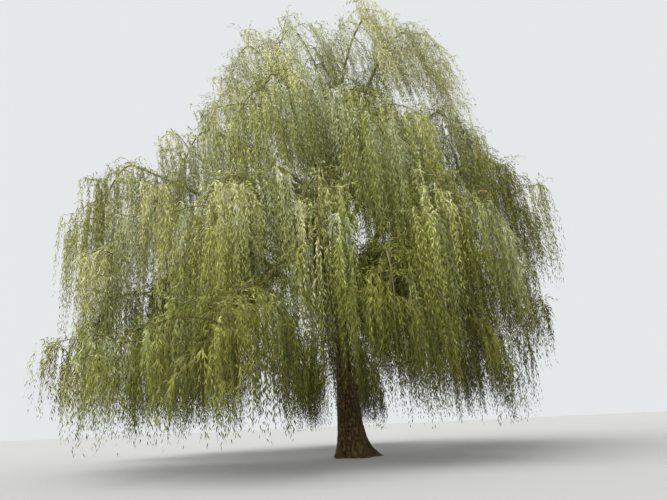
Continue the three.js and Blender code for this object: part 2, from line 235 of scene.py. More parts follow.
CROWN = (
    Row("crest_1", "trunk", 0.92, 220, 2.1, 19.0, 6.4, 2.4, 0.205),
    Row("crest_2", "trunk", 1.0, 318, 2.0, 19.4, 6.6, 2.4, 0.25),
    Row("crest_3", "trunk", 0.96, 90, 2.2, 18.3, 8.0, 3.3, 0.205),
    Row("crest_4", "crest_1", 0.46, 192, 3.9, 18.7, 6.2, 2.1, 0.105),
    Row("crest_5", "crest_2", 0.44, 345, 3.4, 18.9, 6.2, 2.2, 0.105),
    Row("upper_1", "crest_1", 0.3, 195, 5.6, 13.7, 6.2, 2.5, 0.115),
    Row("upper_2", "crest_1", 0.2, 242, 4.6, 14.3, 6.6, 2.5, 0.115),
    Row("upper_3", "crest_2", 0.2, 288, 4.5, 13.2, 7.4, 2.5, 0.115),
    Row("upper_4", "crest_2", 0.32, 348, 4.5, 14.3, 6.2, 2.4, 0.115),
    Row("upper_5", "crest_3", 0.22, 48, 5.0, 14.6, 6.6, 3.3, 0.12),
    Row("upper_6", "crest_3", 0.34, 131, 5.5, 13.7, 6.6, 3.8, 0.12),
    Row("shoulder_1", "trunk", 0.82, 187, 9.0, 12.4, 7.4, 2.5, 0.185),
    Row("shoulder_2", "trunk", 0.62, 212, 7.6, 9.2, 6.0, 2.6, 0.15),
    Row("shoulder_3", "trunk", 0.72, 240, 6.6, 9.2, 6.0, 2.4, 0.165),
    Row("shoulder_4", "shoulder_3", 0.4, 264, 5.6, 9.3, 7.6, 1.4, 0.095),
    Row("shoulder_5", "trunk", 0.78, 299, 5.8, 9.5, 6.6, 2.4, 0.165),
    Row("shoulder_6", "trunk", 0.7, 355, 6.4, 12.1, 6.6, 2.2, 0.175),
    Row("shoulder_7", "trunk", 0.86, 29, 6.2, 10.9, 6.8, 3.2, 0.17),
    Row("shoulder_8", "trunk", 0.68, 87, 7.3, 9.8, 6.4, 3.7, 0.175),
    Row("shoulder_9", "trunk", 0.76, 143, 7.6, 11.2, 6.8, 3.8, 0.175),
    Row("skirt_1", "shoulder_1", 0.5, 200, 8.3, 6.1, 4.6, 2.4, 0.085),
    Row("skirt_2", "shoulder_2", 0.5, 224, 8.0, 4.4, 3.4, 2.4, 0.08),
    Row("skirt_3", "shoulder_3", 0.55, 249, 7.7, 4.9, 3.9, 2.5, 0.08),
    Row("skirt_4", "shoulder_5", 0.4, 282, 6.2, 6.3, 4.6, 1.5, 0.075),
    Row("skirt_5", "shoulder_5", 0.6, 300, 5.6, 6.1, 4.8, 2.0, 0.08),
    Row("skirt_6", "shoulder_6", 0.5, 348, 5.8, 7.3, 4.4, 2.0, 0.08),
    Row("skirt_7", "shoulder_7", 0.5, 35, 5.9, 6.2, 4.9, 3.2, 0.085),
    Row("skirt_8", "shoulder_8", 0.5, 94, 7.3, 5.6, 4.5, 4.6, 0.085),
    Row("skirt_9", "shoulder_9", 0.5, 150, 7.9, 6.1, 4.9, 4.4, 0.085),
)


@dataclass(frozen=True)
class TierLook:
    """What sets a tier's foliage apart.

    Attributes:
        tone: where its leaf tones start, paler on the high tiers and deeper on the low ones as painted
            light and shade.
        gold: the share of its sprays that are yellow-green.
        width: of its sprays, against the lower tiers'.
        longest: its longest spray, as a share of the mass's drop.
    """

    tone: float
    gold: float
    width: float
    longest: float


# The tier tones paint light and shade: pale at the crest, deeper down to the skirt.
TIER_LOOKS = {
    Tier.CREST: TierLook(-0.18, 0.45, 1.8, 0.48),
    Tier.UPPER: TierLook(0.14, 0.5, 1.4, 0.76),
    Tier.SHOULDER: TierLook(0.18, 0.7, 1.0, 0.68),
    Tier.SKIRT: TierLook(0.45, 0.85, 1.0, 0.95),
}


# Materials
class Shader:
    """A material with one Principled shader."""

    def __init__(self, name: str, inputs: dict) -> None:
        """Makes the material.

        Args:
            name: of the material.
            inputs: values of the Principled shader's inputs.
        """
        self.material = bpy.data.materials.new(name)
        self.material.use_nodes = True
        self.tree = self.material.node_tree
        self.tree.nodes.clear()
        self.surface = self.node("BsdfPrincipled", inputs)
        self.node("OutputMaterial", {"Surface": self.surface.outputs["BSDF"]})

    def node(self, kind: str, inputs: dict, **settings: str) -> bpy.types.Node:
        """Adds a node.

        Args:
            kind: the node's type, without its prefix.
            inputs: for an input's name, its value or the output that is linked to it.
            settings: of the node itself.

        Returns:
            The node.
        """
        made = self.tree.nodes.new(f"ShaderNode{kind}")
        for name, value in settings.items():
            setattr(made, name, value)
        self.feed(made, inputs)
        return made

    def feed(self, node: bpy.types.Node, inputs: dict) -> None:
        """Sets or links some inputs of a node.

        Args:
            node: the node.
            inputs: for an input's name, its value or the output that is linked to it.
        """
        for name, value in inputs.items():
            if isinstance(value, bpy.types.NodeSocket):
                self.tree.links.new(value, node.inputs[name])
            else:
                node.inputs[name].default_value = value


def plain(name: str, colour: Triple, roughness: float, mirror: float = 0.5) -> Material:
    """Makes a material of one colour.

    Args:
        name: of the material.
        colour: its colour.
        roughness: of its surface.
        mirror: how strongly the surface mirrors.

    Returns:
        The material.
    """
    inputs = {"Base Color": (*colour, 1), "Roughness": roughness, "Specular IOR Level": mirror}
    return Shader(name, inputs).material


@dataclass(frozen=True)
class Patches:
    """Another colour on the bark, which starts where a noise is over the low number and has its
    full strength from the high one. Scale and detail are the noise's.
    """

    colour: Triple
    scale: float
    detail: float
    low: float
    high: float
    strength: float


@dataclass(frozen=True)
class BarkFinish:
    """The colours of the bark, from the bottom of a furrow to a ridge, and its growths. Deep in the
    furrows the colour darkens past the bark's own as painted shade.

    Attributes:
        side_place: how far up from furrow to ridge the side's colour lies.
        growths: green algae in patches, and pale specks of lichen.
        young: colour of thin limbs.
        gloss: how strongly the dry surface mirrors.
        grain: scale, detail, strength and depth of the finest bumps.
    """

    # The bark's own colour, darkened at the furrows' bottoms by painted shade.
    furrow: Triple = (0.016, 0.009, 0.004)
    side: Triple = (0.06, 0.037, 0.014)
    side_place: float = 0.45
    ridge: Triple = (0.14, 0.098, 0.042)
    growths: tuple[Patches, ...] = (
        Patches((0.066, 0.058, 0.02), 1.3, 5, 0.45, 0.75, 0.6),
        Patches((0.3, 0.25, 0.14), 24, 3, 0.64, 0.7, 0.7),
    )
    young: Triple = (0.24, 0.21, 0.085)
    roughness: float = 0.92
    gloss: float = 0.15
    grain: tuple[float, float, float, float] = (55, 4, 0.5, 0.01)

    def material(self) -> Material:
        """Builds the bark's material.

        The colour follows the relief attribute from furrow to ridge, darkest in the furrows as painted
        shade, with the growths by noise in object coordinates, a paler skin where the young attribute is
        high, and a fine bump.

        Returns:
            The material.
        """
        made = Shader("bark", {"Roughness": self.roughness, "Specular IOR Level": self.gloss})
        relief = made.node("Attribute", {}, attribute_name="relief")
        # Painted shade: the ramp's dark end lies deep in the furrows.
        ramp = made.node("ValToRGB", {"Fac": relief.outputs["Fac"]})
        ramp.color_ramp.elements[0].color = (*self.furrow, 1)
        ramp.color_ramp.elements[1].color = (*self.ridge, 1)
        ramp.color_ramp.elements.new(self.side_place).color = (*self.side, 1)
        place = made.node("TexCoord", {}).outputs["Object"]
        young = made.node("Attribute", {}, attribute_name="young")

        layers = []
        for growth in self.growths:
            waves = {"Vector": place, "Scale": growth.scale, "Detail": growth.detail}
            noise = made.node("TexNoise", waves)
            limits = {"From Min": growth.low, "From Max": growth.high, "To Max": growth.strength}
            share = made.node("MapRange", {"Value": noise.outputs["Fac"], **limits})
            layers.append((growth.colour, share.outputs["Result"]))
        layers.append((self.young, young.outputs["Fac"]))
        below = ramp.outputs["Color"]
        for colour, share in layers:
            inputs = {"Factor": share, "A": below, "B": (*colour, 1)}
            below = made.node("Mix", inputs, data_type="RGBA").outputs["Result"]

        scale, detail, strength, depth = self.grain
        grain = made.node("TexNoise", {"Vector": place, "Scale": scale, "Detail": detail})
        inputs = {"Height": grain.outputs["Fac"], "Strength": strength, "Distance": depth}
        bump = made.node("Bump", inputs)
        made.feed(made.surface, {"Base Color": below, "Normal": bump.outputs["Normal"]})
        return made.material


# Meshes from arrays
def mesh_object(
    name: str,
    points: Array,
    faces: Array,
    materials: list[Material],
    shades: Array | None = None,
    values: dict[str, Array] | None = None,
) -> bpy.types.Object:
    """Makes an object at the origin from whole arrays.

    Args:
        name: of the object.
        points: vertices, of shape (n, 3).
        faces: vertex numbers, of shape (faces, 3) or (faces, 4).
        materials: the object's materials.
        shades: for each face the number of its material, or None for the first.
        values: attributes with a number for each vertex, for the material. A mesh that has
            them is shaded smooth.

    Returns:
        The object, linked into the scene.
    """
    corners = faces.shape[1]
    mesh = bpy.data.meshes.new(name)
    mesh.vertices.add(len(points))
    mesh.vertices.foreach_set("co", points.astype(np.float32).ravel())
    mesh.loops.add(faces.size)
    mesh.loops.foreach_set("vertex_index", faces.astype(np.int32).ravel())
    mesh.polygons.add(len(faces))
    mesh.polygons.foreach_set("loop_start", np.arange(len(faces), dtype=np.int32) * corners)
    for material in materials:
        mesh.materials.append(material)
    if shades is not None:
        mesh.polygons.foreach_set("material_index", shades.astype(np.int32))
    mesh.polygons.foreach_set("use_smooth", np.full(len(faces), values is not None))
    mesh.update(calc_edges=True)
    for key, numbers in (values or {}).items():
        layer = mesh.attributes.new(key, "FLOAT", "POINT")
        layer.data.foreach_set("value", numbers.astype(np.float32).ravel())
    made = bpy.data.objects.new(name, mesh)
    bpy.context.scene.collection.objects.link(made)
    return made


def keep(piece: bpy.types.Object, nodes: list[str]) -> None:
    """Lets a piece ride on the frame and stand for the solids it replaces, which it hides.

    Args:
        piece: the piece.
        nodes: the CAD nodes that it stands for.
    """
    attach(piece, "root")
    if nodes:
        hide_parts(*nodes)
    LOG.info("%s: %d faces", piece.name, len(piece.data.polygons))


def tube_points(path: Array, radii: Array, side: Array, sides: int) -> Array:
    """Sets rings of points round a batch of paths.

    A ring's first axis is the given side direction made square to the path, and its second
    is square to both.

    Args:
        path: of shape (tubes, rings, 3).
        radii: of shape (tubes, rings) or (tubes, rings, sides).
        side: one direction for each tube, roughly square to its path, of shape (tubes, 3).
        sides: points in a ring.

    Returns:
        Points of shape (tubes, rings, sides, 3).
    """
    tangent = unit(np.gradient(path, axis=1))
    axis = unit(side[:, None] - tangent * np.sum(side[:, None] * tangent, -1, keepdims=True))
    across = np.cross(tangent, axis)
    angle = np.arange(sides) * 2 * np.pi / sides
    spoke = axis[:, :, None] * np.cos(angle)[:, None] + across[:, :, None] * np.sin(angle)[:, None]
    if radii.ndim == 2:
        radii = radii[:, :, None]
    return path[:, :, None] + spoke * radii[..., None]


def tube_faces(rings: int, sides: int) -> Array:
    """Four-cornered faces between the rings of a tube.

    Args:
        rings: how many rings.
        sides: points in a ring.

    Returns:
        Vertex numbers, of shape (faces, 4).
    """
    number = np.arange(rings * sides).reshape(rings, sides)
    low, high = number[:-1], number[1:]
    return np.stack([low, np.roll(low, -1, -1), np.roll(high, -1, -1), high], -1).reshape(-1, 4)


# Bark relief
@dataclass(frozen=True)
class BarkRelief:
    """Long furrows that fork and meet, cut into a limb's surface.

    Attributes:
        cell_width: usual distance between furrows round the limb.
        cell_length: usual length of a ridge along the limb.
        depth: from ridge to furrow, on a thick limb.
        seed: of the pattern.
        surface: the height that lies on the limb's own radius.
        least_cells: fewest ridges round a limb.
        coarser: how many ridges a wave of the slow noise spans.
        push: how far that noise pushes furrows sideways, in ridges.
        finer: how many waves of the fine noise a ridge spans.
        gain: height of a ridge before it is cut flat at 1.
        round_off: power that rounds the ridges.
    """

    cell_width: float = 0.048
    cell_length: float = 0.17
    depth: float = 0.028
    seed: int = 11
    surface: float = 0.6
    least_cells: int = 6
    coarser: int = 3
    slow_length: float = 0.6
    push: float = 2.2
    finer: int = 3
    fine_length: float = 0.07
    gain: float = 1.1
    round_off: float = 0.8
    fine_share: float = 0.5

    def noise(self, u: Array, v: Array, across: int, seed: int) -> Array:
        """Smooth random heights on a grid that closes on itself round the limb.

        Each point mixes the random heights of the four grid corners around it, by a smooth
        share of its place between them.

        Args:
            u: places round the limb, in grid cells.
            v: places along the limb, in grid cells.
            across: grid cells in one turn round the limb.
            seed: of the heights.

        Returns:
            Heights from 0 to 1, of the shape of u.
        """
        rows = int(v.max()) + 3
        grid = np.random.default_rng([SEED, self.seed + seed]).random((rows, across))
        low_u, low_v = np.floor(u).astype(int), np.floor(v).astype(int)
        share_u, share_v = smoothstep(u - low_u, 0, 1), smoothstep(v - low_v, 0, 1)
        left, right = low_u % across, (low_u + 1) % across
        below = grid[low_v, left] * (1 - share_u) + grid[low_v, right] * share_u
        above = grid[low_v + 1, left] * (1 - share_u) + grid[low_v + 1, right] * share_u
        return below * (1 - share_v) + above * share_v

    def heights(self, turn: Array, distance: Array, girth: float, seed: int) -> Array:
        """Heights of the bark's surface between furrow, 0, and ridge, 1.

        A noise drawn out along the limb is folded at its middle, which makes lines that fork
        and meet, after a slower noise has pushed it sideways. A finer noise roughens it.

        Args:
            turn: places round the limb, from 0 to 1.
            distance: places along the limb, in metres, of the same shape.
            girth: the limb's usual girth, in metres.
            seed: of this limb.

        Returns:
            Heights of the same shape.
        """
        across = max(self.least_cells, round(girth / self.cell_width))
        few, many = across // self.coarser, across * self.finer
        slow = self.noise(turn * few, distance / self.slow_length, few, seed)
        pushed = turn * across + self.push * (slow - 0.5)
        folded = np.abs(2 * self.noise(pushed, distance / self.cell_length, across, seed + 1) - 1)
        fine = self.noise(turn * across * self.finer, distance / self.fine_length, many, seed + 2)
        return np.clip(self.gain * folded**self.round_off + self.fine_share * (fine - 0.5), 0, 1)


# The trunk and the limbs, by the source's rule
@dataclass(frozen=True)
class Trunk:
    """The trunk: it leans and sways a little, and its foot flares into buttresses."""

    height: float = 6.8
    radius: float = 0.49
    top_radius: float = 0.335
    flare: float = 0.36
    flare_height: float = 0.48
    flare_skew: float = 0.55
    lobes: int = 5
    lobe_depth: float = 0.17
    lobe_height: float = 0.9
    lobe_turn: float = 0.7
    sway: float = 0.07
    back_sway: float = 0.5
    lean: float = 0.15
    dome: float = 0.4
    dome_closing: float = 0.999
    sides: int = 290
    rings: int = 320
    crowding: float = 1.25
    relief: BarkRelief = BarkRelief()

    def axis(self, share: Array | float) -> Array:
        """The trunk's axis.

        Args:
            share: of the height.

        Returns:
            Points, of the shape of share and 3.
        """
        share = np.asarray(share, float)
        x = self.lean * share**2 - self.sway * np.sin(np.pi * share)
        y = self.back_sway * self.sway * np.sin(2 * np.pi * share)
        return np.stack([x, y, self.height * share], -1)

    def radius_at(self, share: Array, azimuth: Array) -> Array:
        """The trunk's radius: a taper, a flare that is widest on the right and dies away
        upwards, and buttresses.

        Args:
            share: of the height.
            azimuth: round the axis, in radians.

        Returns:
            Radii, of the joint shape.
        """
        height = self.height * share
        stem = mix((self.radius, self.top_radius), share)
        depth = self.lobe_depth * np.exp(-height / self.lobe_height)
        lobes = 1 + depth * np.cos(self.lobe_turn - self.lobes * azimuth)
        flare = self.flare * (1 + self.flare_skew * np.cos(azimuth))
        return (stem + flare * np.exp(-height / self.flare_height)) * lobes

    def build(self, bark: Material) -> bpy.types.Object:
        """Builds the trunk with its bark's relief, closed by a low dome under the boughs.

        Args:
            bark: its material.

        Returns:
            The object.
        """
        share = np.linspace(0, 1, self.rings) ** self.crowding
        turn = np.arange(self.sides) / self.sides
        shares, turns = np.meshgrid(share, turn, indexing="ij")
        girth = 2 * math.pi * self.radius
        relief = self.relief.heights(turns, shares * self.height, girth, 0)
        radius = self.radius_at(shares, 2 * np.pi * turns)
        radius += self.relief.depth * (relief - self.relief.surface)
        top = np.clip((shares * self.height - self.height + self.dome) / self.dome, 0, 1)
        radius *= np.sqrt(1 - self.dome_closing * top**2)
        points = self.axis(shares) + outward(360 * turns) * radius[..., None]
        points[0, :, 2] = 0
        faces = tube_faces(self.rings, self.sides)
        return mesh_object("trunk_bark", points.reshape(-1, 3), faces, [bark], values={"relief": relief})


@dataclass(frozen=True)
class LimbRule:
    """How boughs grow: the same numbers as the part's source, and the points of their curves."""

    tip_share: float = 0.25
    least_tip: float = 0.045
    taper: float = 0.9
    collar: float = 0.3
    collar_length: float = 0.42
    growth: float = 0.75
    foot_reach: float = 0.36
    crest_reach: float = 0.27
    crest_slope: float = 0.6
    slopes: Pair = (0.1, 1.5)
    over: float = 0.5
    arch: float = 0.6
    stem_fall: float = 0.46
    hang: float = 0.55
    stem_tip: float = 0.018
    space_stretch: float = 0.4
    space_depth: float = 0.3
    space_reach: float = 0.3
    entry_depth: float = 0.16
    entry_steps: int = 64
    least_bough: float = 0.76
    length_points: int = 201
    rise_points: int = 12
    fall_points: int = 40


@dataclass(frozen=True)
class Limb:
    """A bough with the stem that goes on from it through its mass of foliage.

    Attributes:
        row: the crown's row.
        heading: level direction away from the trunk.
        course: handles of the curve from the parent to the crest.
        hang: handles of the curve from the crest to the foot of the stem.
        end: how far along the course the bough becomes the stem.
        rule: how boughs grow.
    """

    row: Row
    heading: Array
    course: Array
    hang: Array
    end: float
    rule: LimbRule

    def length(self) -> float:
        """The length of the whole course."""
        points = bezier(self.course, np.linspace(0, 1, self.rule.length_points))
        return float(np.linalg.norm(np.diff(points, axis=0), axis=1).sum())

    def tip_radius(self) -> float:
        """The radius where the bough becomes the stem."""
        return max(self.rule.least_tip, self.rule.tip_share * self.row.base)

    def stem(self, count: int = 48) -> Array:
        """Points at even distances along the stem, from the bough's tip to its foot.

        Args:
            count: how many.

        Returns:
            Points, of shape (count, 3).
        """
        rise = bezier(self.course, np.linspace(self.end, 1, self.rule.rise_points))
        fall = bezier(self.hang, np.linspace(0, 1, self.rule.fall_points))
        points = np.concatenate([rise, fall[1:]])
        distance = travelled(points)
        return on_line(points, np.linspace(0, distance[-1], count), distance)


class Skeleton:
    """All limbs, grown in order from the trunk, and the share of the crown that each one fills."""

    def __init__(self, trunk: Trunk, rows: tuple[Row, ...], rule: LimbRule) -> None:
        """Grows the limbs.

        Args:
            trunk: that they grow from.
            rows: the crown's rows, each after the one that it grows from.
            rule: how boughs grow.
        """
        self.trunk = trunk
        self.rule = rule
        azimuth = np.array([row.azimuth for row in rows], float)
        reach = np.array([row.reach + rule.space_reach * rule.over * row.spread for row in rows])
        height = np.array([row.height - rule.space_depth * row.drop for row in rows])
        self.middles = outward(azimuth) * reach[:, None] + UP * height[:, None]
        self.limbs: dict[str, Limb] = {}
        for index, row in enumerate(rows):
            self.limbs[row.name] = self.grow(index, row)

    def depth_inside(self, index: int, points: Array) -> Array:
        """How deep points lie inside the space of a mass, which planes half way to the middles
        of the other masses bound. Height counts for less than width in it.

        Args:
            index: the mass's row number.
            points: of shape (..., 3).

        Returns:
            The distance to the nearest of those planes, negative outside, of shape (...).
        """
        own = self.middles[index]
        others = np.delete(self.middles, index, axis=0)
        normals = unit((others - own) * np.array([1, 1, self.rule.space_stretch**2]))
        offsets = np.sum(normals * (own + others) / 2, axis=1)
        return np.min(offsets - points @ normals.T, axis=-1)

    def grow(self, index: int, row: Row) -> Limb:
        """Grows one limb: a bough from its parent to the crest, then a stem that hangs.

        Args:
            index: the row's number.
            row: the row.

        Returns:
            The limb.
        """
        rule = self.rule
        parent = self.limbs.get(row.source)
        foot, growth = self.trunk.axis(row.at), UP
        if parent:
            foot = bezier(parent.course, row.at * parent.end)
            growth = bezier_tangent(parent.course, row.at * parent.end)
        heading = outward(row.azimuth)
        crest = heading * row.reach + UP * row.height
        chord = crest - foot
        length = float(np.linalg.norm(chord))
        leave = unit(chord / length + rule.growth * growth)
        slope = rule.crest_slope * np.clip(chord[2] / math.hypot(chord[0], chord[1]), *rule.slopes)
        arrive = unit(heading + UP * slope)
        shoulder = crest - arrive * rule.crest_reach * length
        course = np.array([foot, foot + leave * rule.foot_reach * length, shoulder, crest])
        over = rule.over * row.spread
        fall = rule.stem_fall * row.drop
        stem_foot = crest + heading * over - UP * fall
        bends = [crest + arrive * rule.arch * over, stem_foot + UP * rule.hang * fall]
        hang = np.array([crest, *bends, stem_foot])
        places = np.arange(rule.entry_steps) / rule.entry_steps
        outside = self.depth_inside(index, bezier(course, places)) < rule.entry_depth
        entry = float((np.flatnonzero(outside)[-1] + 1) / rule.entry_steps) if outside.any() else 0.0
        return Limb(row, heading, course, hang, max(rule.least_bough, entry), rule)


@dataclass(frozen=True)
class Boughs:
    """The bark of all boughs, each going on as the stem of its mass.

    The relief has its full depth on limbs of the full radius, and less on thinner ones. The
    young bark starts at the first of the young radii and is full at the second.
    """

    ring_spacing: float = 0.13
    least_rings: int = 12
    stem_rings: int = 26
    sides: int = 18
    relief: BarkRelief = BarkRelief(0.07, 0.34, 0.022, 40)
    least_girth: float = 0.5
    full_radius: float = 0.15
    least_depth: float = 0.12
    young_radii: Pair = (0.22, 0.07)
    young_share: float = 0.85

    def path(self, limb: Limb) -> tuple[Array, Array]:
        """A limb's path and radii, from the parent's axis to the foot of the stem.

        The bough tapers as in the part's source, with a collar at its foot. The stem starts
        with the bough's tip radius and thins evenly.

        Args:
            limb: the limb.

        Returns:
            Points of shape (rings, 3) and radii of shape (rings,).
        """
        length = limb.length() * limb.end
        share = np.linspace(0, 1, max(self.least_rings, round(length / self.ring_spacing)))
        rule, tip = limb.rule, limb.tip_radius()
        collar = 1 + rule.collar * np.exp(-share * length / rule.collar_length)
        bough = (tip + (limb.row.base - tip) * (1 - share) ** rule.taper) * collar
        thin = np.linspace(1, rule.stem_tip / tip, self.stem_rings) * tip
        path = np.concatenate([bezier(limb.course, share * limb.end), limb.stem(self.stem_rings)[1:]])
        return path, np.concatenate([bough, thin[1:]])

    def build(self, skeleton: Skeleton, bark: Material) -> bpy.types.Object:
        """Builds the bark of all boughs as one object.

        Args:
            skeleton: the limbs.
            bark: their material.

        Returns:
            The object.
        """
        points, faces, reliefs, youths, start = [], [], [], [], 0
        turn = np.arange(self.sides) / self.sides
        thick, thin = self.young_radii
        for index, limb in enumerate(skeleton.limbs.values()):
            path, radii = self.path(limb)
            distances, turns = np.meshgrid(travelled(path), turn, indexing="ij")
            girth = max(self.least_girth, 2 * math.pi * limb.row.base)
            relief = self.relief.heights(turns, distances, girth, 3 * index)
            depth = self.relief.depth * np.clip(radii / self.full_radius, self.least_depth, 1)
            full = radii[:, None] + depth[:, None] * (relief - self.relief.surface)
            side = np.cross(limb.heading, UP)
            rings = tube_points(path[None], full[None], side[None], self.sides)[0]
            young = self.young_share * (1 - smoothstep(radii, thin, thick))
            points.append(rings.reshape(-1, 3))
            faces.append(tube_faces(len(path), self.sides) + start)
            reliefs.append(relief.ravel())
            youths.append(np.repeat(young, self.sides))
            start += rings.shape[0] * rings.shape[1]
        values = {"relief": np.concatenate(reliefs), "young": np.concatenate(youths)}
        arrays = np.concatenate(points), np.concatenate(faces)
        return mesh_object("bough_bark", *arrays, [bark], values=values)


# Foliage
class Hue(Enum):
    """The families of leaf colours: yellow-green, grey-green, and withered."""

    GOLD = 0
    GREY = 1
    RUST = 2


@dataclass(frozen=True)
class LeafFinish:
    """The leaves' plain colours, in steps from palest to deepest, and their sheen. The steps carry the
    painted light and shade of the tones as well as their random differences.

    Attributes:
        gold: yellow-green steps.
        grey: grey-green steps.
        rust: the colour of withered leaves.
        roughness: of the leaf's surface.
        sheen: how strongly the surface mirrors.
    """

    gold: tuple[Triple, ...] = (
        (0.6, 0.6, 0.29),
        (0.385, 0.405, 0.12),
        (0.25, 0.27, 0.05),
        (0.148, 0.163, 0.022),
        (0.068, 0.078, 0.009),
    )
    grey: tuple[Triple, ...] = (
        (0.56, 0.6, 0.41),
        (0.35, 0.39, 0.19),
        (0.22, 0.255, 0.09),
        (0.128, 0.152, 0.038),
        (0.06, 0.073, 0.014),
    )
    rust: Triple = (0.36, 0.23, 0.075)
    roughness: float = 0.6
    sheen: float = 0.15

    def numbers(self, hues: Array, tones: Array) -> Array:
        """Gives the numbers of the materials for hues and tones.

        Args:
            hues: Hue numbers.
            tones: from 0, palest, to 1, deepest.

        Returns:
            Numbers in the list that materials() makes.
        """
        steps = len(self.gold)
        step = np.clip(tones * steps, 0, steps - 1).astype(int)
        return np.where(hues == Hue.RUST.value, 2 * steps, hues * steps + step)

    def materials(self) -> list[Material]:
        """Makes a plain material for each colour: the gold steps, the grey steps, then rust."""
        colours = enumerate((*self.gold, *self.grey, self.rust), 1)
        return [plain(f"leaf_{number}", colour, self.roughness, self.sheen) for number, colour in colours]


@dataclass(frozen=True)
class TwigFinish:
    """The olive-brown skin of the twigs and the golden one of the hanging shoots."""

    twig: Triple = (0.12, 0.095, 0.04)
    shoot: Triple = (0.34, 0.26, 0.075)
    roughness: float = 0.7

    def materials(self) -> list[Material]:
        """Makes the plain materials of twigs and of shoots."""
        skins = (("twig", self.twig), ("shoot", self.shoot))
        return [plain(name, colour, self.roughness) for name, colour in skins]


@dataclass(frozen=True)
class FoliageRule:
    """How a mass grows: the source's rule, with more side twigs, carried on to finer ones.

    A pair with no comment holds the limits of random draws or of evenly set places, or values
    at the start and the end of the stem. Places are shares of the length of what something
    grows on. Turns are in degrees. Other sizes are in metres, or are shares of the size of the
    mass, twig or spray that they belong to.
    """

    # Side twigs on the stem, and a few on the bough
    twigs: Pair = (5.5, 1.2)  # how many, and how many more for each square metre of spread
    twig_places: Pair = (0.02, 0.96)
    twig_turn: Pair = (118, 44)
    twig_turn_spread: float = 34
    inner_twigs: int = 4
    inner_places: Pair = (0.5, 0.97)
    inner_turn: Pair = (60, 180)
    twig_length: Pair = (0.5, 0.9)
    twig_lift: Pair = (0.08, 0.24)
    twig_sag: Pair = (0.06, 0.28)
    twig_run: float = 0.94
    twig_middle: float = 0.55
    drooping: float = 0.5
    twig_droop: Pair = (0.45, 1.15)
    run_less: float = 0.3
    twig_room: Pair = (0.9, 0.0)  # how far from the stem: share of the spread, and metres
    twig_inside: Pair = (0.5, 1)  # places of a twig that lie in the space of the mass

    # Finer twigs on the side twigs
    fine_places: tuple[float, ...] = (0.5, 0.7, 0.9)
    fine_turn: Pair = (35, 100)
    fine_length: Pair = (0.16, 0.32)
    fine_taper: Pair = (1.25, 0.6)  # at the side twig's root, and how much less at its tip

    # Sprays: where they grow, how long they get, how they leave and hang
    bough_sprays: int = 22
    bough_places: Pair = (0.22, 0.99)
    bough_lift: Pair = (0.1, 0.75)
    bough_share: float = 0.6
    stem_sprays: int = 12
    stem_places: Pair = (0.05, 1)
    twig_spray_places: tuple[float, ...] = (0.3, 0.55, 0.75, 0.9, 1)
    fine_spray_places: tuple[float, ...] = (0.55, 1)
    fan: float = 230
    hem: float = 1.07
    lowest: float = 0.75
    under_lowest: float = 0.1
    lobe_rise: float = 0.2
    lobe_power: float = 1.5
    least_room: float = 0.5
    shortening: float = 0.42
    spray_width: Pair = (0.25, 0.65)
    spray_push: Pair = (0.15, 0.7)
    spray_lift: Pair = (0.02, 0.3)
    spray_room: Pair = (0.95, 0.25)  # as for twigs
    spray_inside: tuple[float, ...] = (0.1,)  # as for twigs
    shoulder_push: float = 0.8
    bend_rise: float = 0.55
    bend_back: float = 0.35
    gather: Pair = (0.1, 0.7)
    gather_place: float = 0.8
    wind: Pair = (0.08, 0.45)  # low down and high up
    wind_spread: Pair = (0.7, 0.6)  # the least, and how much more at most
    wind_reach: float = 2.6
    wind_foot: float = 8.5
    wind_top: float = 17.0

    # Limits of a mass
    lengths: tuple[float, ...] = (1, 0.72, 0.5, 0.34)
    reach_places: tuple[float, ...] = (0.35, 0.7, 1.0)
    overlap: float = 0.45
    trunk_room: float = 1.1
    stem_step: int = 6

    # Side shoots beside a main one, and sprigs that rise and nod
    side_shoots: int = 2
    side_starts: Pair = (0.02, 0.55)
    side_lengths: Pair = (0.5, 1)
    side_sizes: Pair = (0.35, 1)
    side_shoulder: Pair = (0.85, 0.08)  # shares of the way aside and of the fall
    sprigs: int = 60
    stem_sprigs: int = 120
    sprig_length: Pair = (0.35, 1.0)
    sprig_rise: Pair = (0.1, 0.9)
    sprig_turn: float = 110
    sprig_places: Pair = (0.15, 0.85)  # the least, and how much more at most
    sprig_stem: float = 0.8
    sprig_bough: float = 0.5
    # Each handle's way out, its share of the rise, and how far it nods
    sprig_shape: tuple[Triple, ...] = ((0.3, 0.55, 0), (0.65, 0.6, 0), (0.85, 0.45, 0.25))

    # Colours
    same_hue: float = 0.7
    withered: float = 0.002
    # Painted shade: the tones deepen towards the hem and towards the inside of the crown, whose edge lies
    # outer spreads beyond the reach.
    outer: float = 1.15
    tone_fall: float = 0.36
    tone_inside: float = 0.34
    tone_of_lobe: float = 0.28
    tone_of_spray: float = 0.2
    # Painted shade: the tones deepen to the right, away from the light.
    tone_per_metre: float = 0.018


class Rows:
    """A dataclass of arrays, which have a row for each thing of its kind."""

    @classmethod
    def joined(cls, parts: list[Self]) -> Self:
        """Joins several of one kind, in their order."""
        return cls(*map(np.concatenate, zip(*(vars(part).values() for part in parts))))

    def picked(self, which: Array) -> Self:
        """Picks rows by number or by truth value."""
        return type(self)(*(values[which] for values in vars(self).values()))


